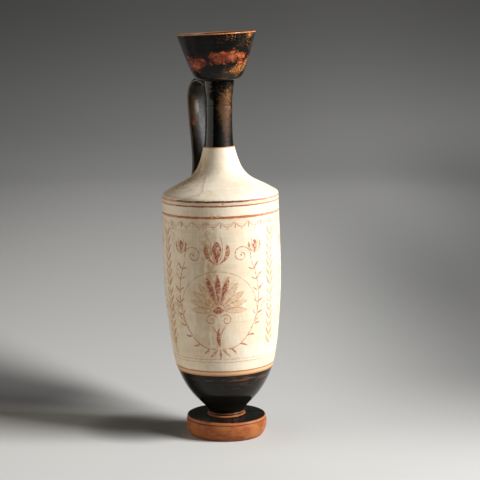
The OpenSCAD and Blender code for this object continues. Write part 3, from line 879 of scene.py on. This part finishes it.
# Handle: a strap with a rounded oblong section that spreads at its lower end
STRAP_HALF_W, STRAP_HALF_T = 12.5, 5.2
STRAP_SPREAD_W, STRAP_SPREAD_T = 2, 0.8
STRAP_SQUARE = 2.3
STRAP_LENGTH = 150
STRAP_COLUMNS = 96
OVERLAP = 0.35


def strap_line():
    """The strap's middle line, as distance from the neck's axis and height above its foot."""
    top, bend_at, near, end = (7.5, 66.5), (47.2, 54.5), (35.4, -25.5), (39.4, -46.3)
    down = (0, -22.5)
    return spaced(joined(
        curve(top, (15.75, 18), bend_at, down), curve(bend_at, down, near, down),
        curve(near, (0, -5.2), end, (3, -5.2), 10)), 0.8)


def squared(wave):
    return np.sign(wave) * np.abs(wave) ** (2 / STRAP_SQUARE)


def make_handle(finish):
    path = strap_line()
    run = unit(np.gradient(path, axis=0))
    share = np.linspace(0, 1, len(path))[:, None]
    turn = ((np.arange(STRAP_COLUMNS) + 0.5) * 2 * np.pi / STRAP_COLUMNS)[None, :]
    pulled = waves(Place(turn, 0, share * STRAP_LENGTH), (0.22, 9, 60.0, 61),
                   (0.16, 23, 14.0, 62), (0.05, 60, 2.2, 63))
    across = (STRAP_HALF_W + STRAP_SPREAD_W * share ** 6) * squared(np.cos(turn))
    outward = (STRAP_HALF_T + STRAP_SPREAD_T * share ** 6) * squared(np.sin(turn))
    across, outward = across * (1 + pulled / 12), outward * (1 + pulled / 6)
    placed = conform(np.stack([across, path[:, :1] - outward * run[:, 1:],
                               path[:, 1:] + outward * run[:, :1]], -1))
    points = placed.reshape(-1, 3) * MM
    faces = [face[::-1] for face in ring_faces(len(path), STRAP_COLUMNS, False)]
    faces += [list(range(STRAP_COLUMNS)), list(range(len(points)))[:-STRAP_COLUMNS - 1:-1]]
    z = placed[..., 2]
    inner = np.clip(-1.4 * np.sin(turn), 0, 1)
    left = np.clip(-1.6 * np.cos(turn), 0, 1)
    # lit: a painted highlight, a grey band down the middle of the inner face where the key light
    # falls, laid through the scrape field
    lit = ditch(z - 44, 17) * np.clip(1 - ((across + 3.5) / 7) ** 2, 0, 1)
    fields = {"worn": 0.95 * left * ditch(z - 40, 30) + 0.1 * inner - 0.15,
              "misfire": left * (0.75 * ditch(z - 26, 8) + 0.45 * ditch(z - 50, 12)) - 0.35,
              "bare": -1.0, "streak": 0.1, "scraped": 0.92 * inner * lit - 0.1,
              "matt": 0.12 + 0.88 * inner + 0.12 * left}
    fields = {key: np.broadcast_to(value, z.shape) for key, value in fields.items()}
    item = mesh_object("handle_shown", points, faces, fields, NECK_FRAME)
    dress(item, finish, "handle")


def settled(points, frame, limit, settle):
    """Moves points of the neck's frame to a surface of another frame, at limit(radius)."""
    change = frame.inverted() @ NECK_FRAME
    turn, shift = np.array(change.to_3x3()), np.array(change.translation) / MM
    there = points @ turn.T + shift
    there[..., 2] = settle(there[..., 2], limit(np.hypot(there[..., 0], there[..., 1])))
    return (there - shift) @ turn


def conform(points):
    """Lays the handle's two ends against the neck, the shoulder and the mouth's underside."""
    x, y, z = np.moveaxis(points, -1, 0)
    away = np.hypot(x, y)
    neck_r = radius_at(NECK_OUT, np.clip(z, 0, NECK_H)) - OVERLAP
    push = np.where((away < neck_r) & (z > 0), neck_r / np.maximum(away, 0.5), 1.0)
    points = np.stack([x * push, y * push, z], -1)

    def shoulder_top(radius):
        slope = SHOULDER_OUT[2:]
        return np.interp(-radius, -slope[:, 0], slope[:, 1]) - OVERLAP

    def mouth_bottom(radius):
        return np.interp(radius, MOUTH_OUT[:, 0], MOUTH_OUT[:, 1], left=0) + OVERLAP

    points = settled(points, BODY_FRAME, shoulder_top, np.maximum)
    return settled(points, MOUTH_FRAME, mouth_bottom, np.minimum)


# Painted ornament: strokes over the body, drawn as (mm right of the front, height)
ROUND_R = 68.0
RIBBON_OFFSETS = np.array([-1, -1, -0.5, 0, 0.5, 1, 1])
RIBBON_LIFTS = np.array([-0.2, 0.01, 0.07, 0.09, 0.07, 0.01, -0.2])
THINNEST_HALF = 0.08


class Brush:
    """Collects strokes and lays them on the body as thin raised ribbons."""

    def __init__(self):
        self.points, self.faces, self.places, self.marks = [], [], [], []

    def stroke(self, path, width, tone=0.0, strength=0.8, ochre=0.0, shape="line"):
        path = spaced(np.asarray(path, float), 0.9)
        if len(path) < 3:
            return
        run = unit(np.gradient(path, axis=0))
        t = np.linspace(0, 1, len(path))
        if shape == "leaf":
            swell = np.sin(np.pi * t) ** 0.75
        elif shape == "petal":
            swell = np.sin(np.pi * t ** 1.7) ** 0.7
        else:
            swell = np.clip(np.minimum(t, 1 - t) * len(path) / 4, 0.25, 1)
            swell = swell * (1 + 0.18 * np.sin(path[:, 0] * 0.9 + path[:, 1] * 1.3))
        half = np.maximum(width * swell / 2, THINNEST_HALF)
        side = np.stack([-run[:, 1], run[:, 0]], 1)
        flat = path[:, None, :] + side[:, None, :] * (half[:, None] * RIBBON_OFFSETS)[:, :, None]
        at = Place(flat[..., 0] / ROUND_R, radius_at(WALL_OUT, flat[..., 1]), flat[..., 1])
        at = at._replace(radius=at.radius + body_relief(at) + RIBBON_LIFTS)
        world = at.angle + FRONT
        first = sum(len(p) for p in self.points)
        laid = [at.radius * np.cos(world), at.radius * np.sin(world), at.height]
        self.points.append(np.stack(laid, -1).reshape(-1, 3))
        self.places.append(np.stack(at, -1).reshape(-1, 3))
        n = len(RIBBON_OFFSETS)
        self.faces.append([first + j for j in range(n)])
        for a in range(first, first + (len(path) - 1) * n, n):
            for j in range(n):
                k = (j + 1) % n
                self.faces.append([a + j, a + n + j, a + n + k, a + k])
        last = first + (len(path) - 1) * n
        self.faces.append([last + j for j in range(n - 1, -1, -1)])
        self.marks += [(tone, strength, ochre)] * (len(path) * n)

    def build(self, name):
        fields = dict(zip(("tone", "strength", "ochre"), np.array(self.marks).T))
        fields.update(body_fields(Place(*np.vstack(self.places).T)))
        return mesh_object(name, np.vstack(self.points) * MM, self.faces, fields, BODY_FRAME)


def bend(a, b, bulge, steps=20):
    """An arc-like line from a to b that stands out by bulge to its left."""
    run = np.subtract(b, a).astype(float)
    side = np.array([-run[1], run[0]]) / (np.linalg.norm(run) + 1e-9) * bulge * 4 / 3
    return curve(a, run / 3 + side, b, run / 3 - side, steps)


def scroll(centre, outer, inner, start, turns, steps=60):
    """A volute round centre that winds from the outer radius to the inner one."""
    t = np.linspace(0, 1, steps + 1)
    angle = np.radians(start) + turns * 2 * np.pi * t
    radius = outer + (inner - outer) * t ** 0.8
    return np.stack([centre[0] + radius * np.cos(angle), centre[1] + radius * np.sin(angle)], 1)


def heading(run):
    return math.degrees(math.atan2(run[1], run[0]))


def palmette(brush, heart, size, petals, filled, strength):
    """A fan of petals over a filled heart, with an arc round it."""
    hx, hy = heart
    middle = (petals - 1) / 2
    width = size * 0.17
    for k in range(petals):
        share = (k - middle) / middle
        way = math.radians(90 - 82 * share)
        ray = np.array([math.cos(way), math.sin(way)])
        start = heart + 0.14 * size * ray
        droop = np.array([ray[1], -ray[0]]) * share * size * 0.10
        tip = heart + size * (1 - 0.22 * abs(share) ** 1.5) * ray + droop
        tone, ochre = (1.0, 0.0) if abs(k - middle) < filled / 2 else (0.0, 1.0)
        fill_strength = strength * (1 - 0.5 * ochre)
        brush.stroke(bend(start, tip, 0), width * 0.82, tone, fill_strength, ochre, "petal")
        for hand in (-1, 1):
            brush.stroke(bend(start, tip, hand * width * 0.46), 0.75, 0.15, strength * 0.9)
    ring, ring_r = np.radians(np.linspace(-14, 194, 60)), size * 1.10
    arc = np.stack([hx + ring_r * np.cos(ring), hy + ring_r * np.sin(ring) - 0.02 * size], 1)
    brush.stroke(arc, 0.8, 0.0, strength * 0.8)
    seed = [(hx - 0.15 * size, hy), (hx, hy + 0.02 * size), (hx + 0.15 * size, hy)]
    brush.stroke(seed, size * 0.20, 0.9, strength, shape="leaf")


def leaf(brush, root, degrees, length, strength, tone):
    way = math.radians(degrees)
    tip = (root[0] + length * math.cos(way), root[1] + length * math.sin(way))
    brush.stroke(bend(root, tip, 0.8), length * 0.22, tone, strength, shape="leaf")


def berry(brush, place, size, strength):
    x, y = place
    dab = [(x - size / 2, y), (x, y + 0.1), (x + size / 2, y)]
    brush.stroke(dab, size, 0.9, strength, shape="leaf")


def sprig(brush, foot, top, bulge, leaves, size, strength):
    """A stem with pairs of narrow leaves and berries between them."""
    stem = bend(foot, top, bulge, 60)
    brush.stroke(stem, 1.0, 0.1, strength)
    run = np.gradient(stem, axis=0)
    for k in range(leaves):
        at = int((k + 0.8) / (leaves + 0.6) * (len(stem) - 1))
        for hand in (-1, 1):
            tone = 0.15 + 0.6 * (k % 3 == 1)
            leaf(brush, stem[at], heading(run[at]) + hand * 30, size, strength, tone)
        if k % 2:
            berry(brush, stem[at] + (3.6 * (-1) ** (k // 2), -1.0), 1.8, strength)


def festoon(brush, height, count, drop, strength):
    """A chain of hanging arcs all round, with a leaf under each joint and a berry between."""
    wide = 2 * np.pi * ROUND_R / count
    for k in range(count):
        a, b = (k * wide, height), ((k + 1) * wide, height)
        brush.stroke(bend(a, b, -drop), 1.0, 0.1, strength)
        brush.stroke(bend(a, b, -0.55 * drop), 0.8, 0.0, strength * 0.6)
        leaf(brush, (a[0], height - 1), -90, 7.5, strength, 0.6)
        berry(brush, (a[0] + wide / 2, height - drop - 2.2), 2.0, strength)


def lotus(brush, root, size, strength):
    """A bud of three filled sepals with a thin line between them on each side."""
    x, y = root
    brush.stroke(bend(root, (x, y + 0.8 * size), 0), size * 0.30, 0.95, strength, shape="petal")
    for hand in (-1, 1):
        tip = (x + hand * 0.34 * size, y + 0.72 * size)
        hair_tip = (x + hand * 0.12 * size, y + size)
        sepal = bend(root, tip, -hand * 0.16 * size)
        brush.stroke(sepal, size * 0.15, 0.35, strength, shape="petal")
        brush.stroke(bend(root, hair_tip, -hand * 0.13 * size), 0.8, 0.0, strength)


def vine(brush, root, hand, strength):
    """A stem that swings out, climbs with leaves beside it and winds up into a volute."""
    x, y = root
    knee, neck = (x + hand * 45, y + 40), (x + hand * 37, y + 104)
    climb = joined(curve(root, (hand * 24, -6), knee, (hand * 5, 19), 30),
                   curve(knee, (hand * 6, 24), neck, (-hand * 7, 14), 30))
    brush.stroke(climb, 1.1, 0.1, strength)
    heart = (x + hand * 26, y + 110)
    from_heart = np.subtract(neck, heart)
    volute = scroll(heart, math.hypot(*from_heart), 1.8, heading(from_heart), 1.45 * hand)
    brush.stroke(volute, 1.1, 0.1, strength)
    berry(brush, heart, 2.6, strength)
    side, side_r = (x + hand * 56, y + 46), 8.5
    shoot = curve((x + hand * 37, y + 22), (hand * 4, 9), (side[0], side[1] - side_r),
                  (hand * 5, 0))
    brush.stroke(scroll(side, side_r, 1.6, -90, 1.3 * hand), 1.0, 0.1, strength)
    brush.stroke(shoot, 1.0, 0.1, strength)
    run = np.gradient(climb, axis=0)
    for k in range(5, 58, 6):
        way = heading(run[k])
        leaf(brush, climb[k], way - hand * 52, 10.5, strength, 0.2 + 0.6 * (k % 4 == 1))
        if k > 26:
            leaf(brush, climb[k], way + hand * 52, 8.5, strength * 0.9, 0.3)
    lotus(brush, (neck[0] + hand * 6, neck[1] + 7), 20, strength)


def around_body(degrees):
    return math.radians(degrees) * ROUND_R


def make_ornament(finish):
    """A festoon, three groups of palmette, lotus and vines, sprigs between, and a ground line."""
    brush = Brush()
    festoon(brush, 267.5, 26, 6.5, 0.75)
    for degrees, strength in ((-4, 0.95), (116, 0.85), (-124, 0.85)):
        u = around_body(degrees)
        palmette(brush, (u, 163), 43, 11, 3, strength)
        lotus(brush, (u, 217), 34, strength)
        for hand in (-1, 1):
            vine(brush, (u + hand * 2, 118), hand, strength * 0.95)
            volute = scroll((u + hand * 9, 152), 7.5, 1.4, 90 + hand * 60, -hand * 1.35)
            stalk = bend((u + hand * 1.5, 119), (u + hand * 8, 145), hand * 3.0)
            brush.stroke(volute, 1.1, 0.15, strength)
            brush.stroke(stalk, 1.0, 0.1, strength)
            leaf(brush, (u + hand * 2, 117), -90 + hand * 48, 15, strength * 0.8, 0.4)
        leaf(brush, (u, 119), 90, 24, strength, 0.9)
        leaf(brush, (u, 117), -90, 13, strength, 0.9)
    for degrees, bulge in ((56, 3), (176, 3), (-64, -3)):
        u = around_body(degrees)
        sprig(brush, (u, 110), (u, 256), bulge, 14, 14, 0.85)
    turn = np.linspace(0, 2 * np.pi * ROUND_R, 420)
    for height in (100.5, 104.0):
        brush.stroke(np.stack([turn, height + 0.3 * np.sin(turn / 21)], 1), 0.9, 0.1, 0.6)
    dress(brush.build("painted_ornament"), finish)


# Stage: a pale floor that curves up into a wall all round, far outside the camera's path.
# Light and shade are painted into its paper: painted shade in front of the flask keeps bright
# reflections out of the gloss, a painted shadow widens the real one beside the flask and
# another lies by the foot, painted shade darkens the right and the left front, and painted
# light makes it brighter behind the flask, darker to the sides and up the wall.
# Here right and ahead are the camera's, in metres.
FLOOR_RIGHT = np.array((0.8192, -0.5736, 0))
FLOOR_AHEAD = np.array((-0.5736, -0.8192, 0))
# The way the painted shadow wedge runs, and across it.
SHADOW_WAY = -0.894 * FLOOR_RIGHT - 0.447 * FLOOR_AHEAD
SHADOW_SIDE = 0.447 * FLOOR_RIGHT - 0.894 * FLOOR_AHEAD
PAPER_WHITE, PAPER_TONE = (1.0, 1.0, 0.99), 0.55


def make_stage():
    rows = np.vstack([line((0.35, 0), (0.8, 0), (1.4, 0), (2.0, 0), (2.6, 0)),
                      curve((2.6, 0), (0.9, 0), (3.7, 1.1), (0, 0.7), 16)[1:],
                      line((3.7, 2.0), (3.7, 3.2), (3.7, 4.6))])
    columns = 96
    angle = np.arange(columns) * 2 * np.pi / columns
    radius, height = rows[:, :1], rows[:, 1:]
    points = np.stack([radius * np.cos(angle), radius * np.sin(angle), height + 0 * angle], -1)
    points = np.vstack([points.reshape(-1, 3), [[0, 0, 0]]])
    centre = len(points) - 1
    faces = [face[::-1] for face in ring_faces(len(rows), columns, False)]
    faces += [[centre, j, (j + 1) % columns] for j in range(columns)]
    stage = mesh_object("studio_floor", points, faces, {}, Matrix.Identity(4))
    stage.data.materials.append(paper_with_painted_light())


def paper_with_painted_light():
    n = Nodes("paper_with_painted_light")
    right, ahead, height = (n.along(way) for way in (FLOOR_RIGHT, FLOOR_AHEAD, (0, 0, 1)))
    aside = n.math("ABSOLUTE", right, 0.0)
    behind = n.math("SUBTRACT", height, ahead)
    front_left = n.plus(ahead, n.times(right, 0.35))
    # Painted shade on the right behind the flask.
    painted_right_shade = n.times(n.ramp(right, 0.02, 0.42), n.ramp(ahead, 0.22, -0.34),
                     n.ramp(ahead, -2.6, -0.8))
    # A painted shadow beside the flask's cast shadow, widening away from it.
    beside = n.plus(n.along(SHADOW_WAY), -0.027)
    off_line = n.math("ABSOLUTE", n.plus(n.along(SHADOW_SIDE), -0.054), 0.0)
    wide = n.plus(n.times(n.larger(beside, 0.1), 0.5), -0.03)
    painted_shadow_wedge = n.times(n.ramp(n.math("DIVIDE", off_line, wide), 1.35, 0.25),
                    n.ramp(beside, 0.05, 0.27), n.ramp(beside, 1.3, 0.6))
    # A painted shadow by the foot.
    off_right, off_ahead = n.plus(right, 0.105), n.plus(ahead, 0.02)
    off_foot = n.plus(n.times(off_right, off_right), n.times(off_ahead, off_ahead))
    painted_foot_shadow = n.ramp(off_foot, 0.0068, 0.0004)
    # Painted shade at the left front and further out on the right.
    painted_left_front_shade = n.times(n.ramp(ahead, 0.1, 0.6), n.ramp(right, -0.25, -0.8))
    painted_far_right_shade = n.times(n.ramp(right, 0.35, 0.7), n.ramp(behind, 3.4, 2.4))
    # Painted light: the far wall darker on the left and brighter on the right.
    painted_wall_light = n.times(n.ramp(behind, 2.7, 3.3), n.ramp(right, -0.5, 0.6, -0.12, 0.18))
    tone = n.times(n.plus(painted_wall_light, 1.0), PAPER_TONE)
    # Each painted shadow and shade darkens the paper by its depth.
    for mask, depth in ((painted_right_shade, 0.64), (painted_shadow_wedge, 0.78), (painted_foot_shadow, 0.45), (painted_left_front_shade, 0.6),
                        (painted_far_right_shade, 0.32)):
        tone = n.times(tone, n.less(mask, depth))
    # Painted falloff of light: a little brighter to the left and just in front, darker further in
    # front, darker to the sides, brighter behind the flask, and darker far off, up the wall and
    # higher up.
    for value, low, high, end in (
            (right, 0.1, -0.22, 1.06), (aside, 0.25, 0.95, 0.70), (ahead, -0.08, 0.12, 1.08),
            (front_left, 0.25, 0.95, 0.16), (aside, 1.3, 2.4, 0.45), (behind, 0.5, 2.7, 1.45),
            (behind, 2.3, 4.2, 0.18), (height, 0.48, 0.9, 0.45)):
        tone = n.times(tone, n.ramp(value, low, high, 1.0, end))
    n.colour = n.mix(tone, (0.0, 0.0, 0.0), PAPER_WHITE)
    return n.surface(0.85, 0.15)


# Lights: a strong soft key from the right, a dim warm card on the left, a little all round
LIT_HEIGHT = 0.2
WORLD_COLOUR, WORLD_STRENGTH = (1.0, 0.98, 0.95, 1), 0.035


def area(name, right_of_camera, away, height, size, radiance, colour):
    """A lamp so many degrees right of the camera, turned to the flask."""
    angle = math.radians(right_of_camera)
    place = away * (math.cos(angle) * FLOOR_AHEAD + math.sin(angle) * FLOOR_RIGHT)
    data = bpy.data.lights.new(name, "AREA")
    data.shape = "RECTANGLE"
    data.size, data.size_y = size
    data.energy = radiance * math.pi * size[0] * size[1]
    data.color = colour
    lamp = bpy.data.objects.new(name, data)
    lamp.location = (place[0], place[1], height)
    way = Vector((0, 0, LIT_HEIGHT)) - lamp.location
    lamp.rotation_euler = way.to_track_quat("-Z", "Y").to_euler()
    bpy.context.collection.objects.link(lamp)


def make_lights():
    area("key_softbox", 73, 2.4, 1.45, (1.2, 1.1), 37.0, (1.0, 0.995, 0.98))
    area("left_card", -86, 1.35, 0.42, (2.1, 0.78), 1.7, (1.0, 0.92, 0.80))
    world = bpy.data.worlds.new("studio_air")
    world.use_nodes = True
    air = world.node_tree.nodes["Background"].inputs
    air["Color"].default_value = WORLD_COLOUR
    air["Strength"].default_value = WORLD_STRENGTH
    bpy.context.scene.world = world
    bpy.context.scene.view_settings.view_transform = "Standard"


make_camera()
make_stage()
make_lights()
clay, gloss, white = foot_clay(), black_gloss(), white_ground()
make_foot(clay)
make_fillet(clay)
make_lower_body(gloss)
make_wall(white)
make_shoulder(white)
make_neck(gloss)
make_mouth(gloss)
make_handle(gloss)
make_ornament(painted())
